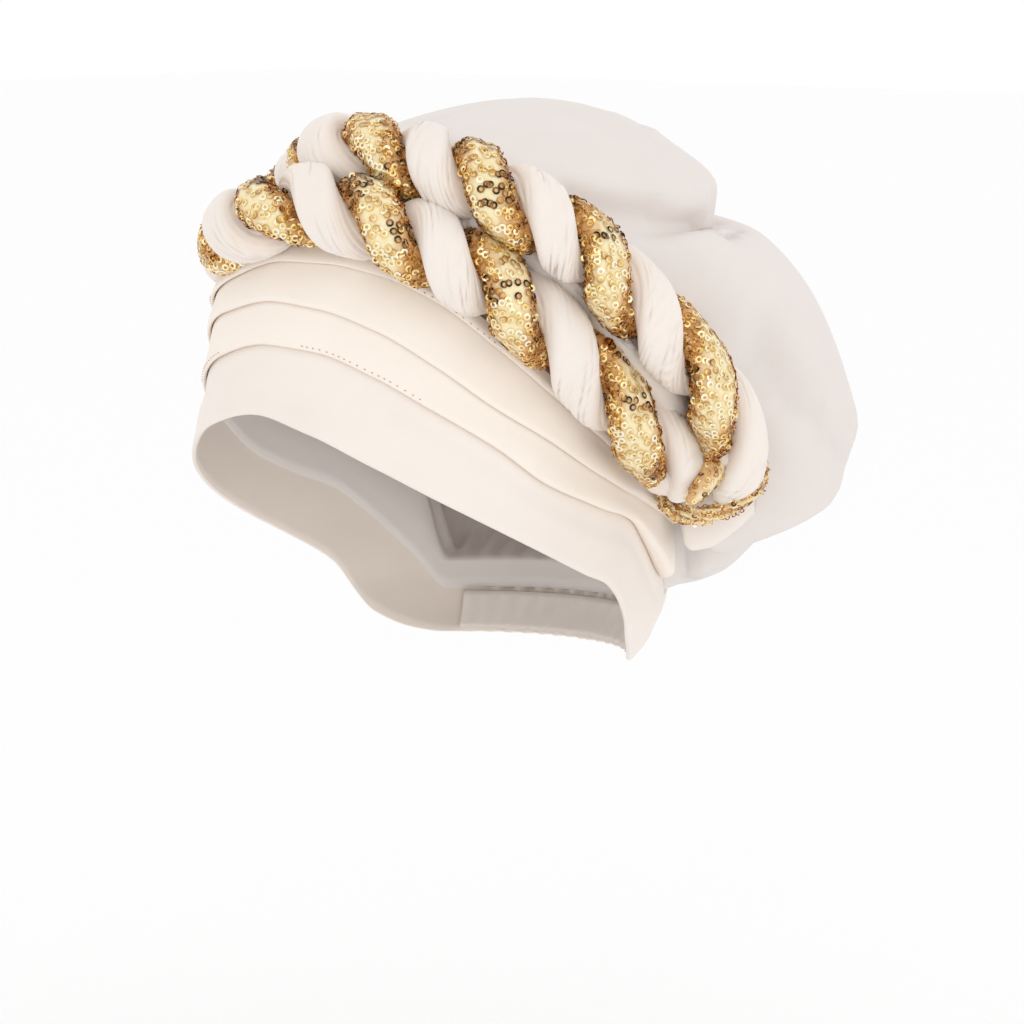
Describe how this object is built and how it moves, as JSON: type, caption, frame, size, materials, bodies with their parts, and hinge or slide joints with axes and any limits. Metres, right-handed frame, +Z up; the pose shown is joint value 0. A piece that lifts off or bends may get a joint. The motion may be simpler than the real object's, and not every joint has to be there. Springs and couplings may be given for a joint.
{
  "type": "turban hat",
  "caption": "Ready-made turban hat of cream stretch cloth with a pleated brow, a large soft crown and twisted cream and gold sequin ropes across the front.",
  "frame": {"origin": "on the axis of the head, level with the rim of the band over the brow", "axes": "+Z up, the front of the hat faces -Y, the wearer's left is +X"},
  "size_m": [0.2679, 0.2912, 0.237],
  "materials": {
    "cream_cloth": "matt smooth stretch cloth",
    "gold_sequin_cloth": "champagne knit covered in shiny gold sequins",
    "elastic": "matt gathered elastic casing"
  },
  "bodies": {
    "root": {"brow_band": "cream_cloth", "pleat_lower": "cream_cloth", "pleat_middle": "cream_cloth", "pleat_upper": "cream_cloth", "crown_left": "cream_cloth", "crown_right": "cream_cloth", "front_braid_cream": "cream_cloth", "rear_braid_cream": "cream_cloth", "left_tuck": "cream_cloth", "right_tuck": "cream_cloth", "front_braid_gold": "gold_sequin_cloth", "rear_braid_gold": "gold_sequin_cloth", "left_tie": "gold_sequin_cloth", "right_tie": "gold_sequin_cloth", "nape_elastic": "elastic"}
  },
  "joints": []
}
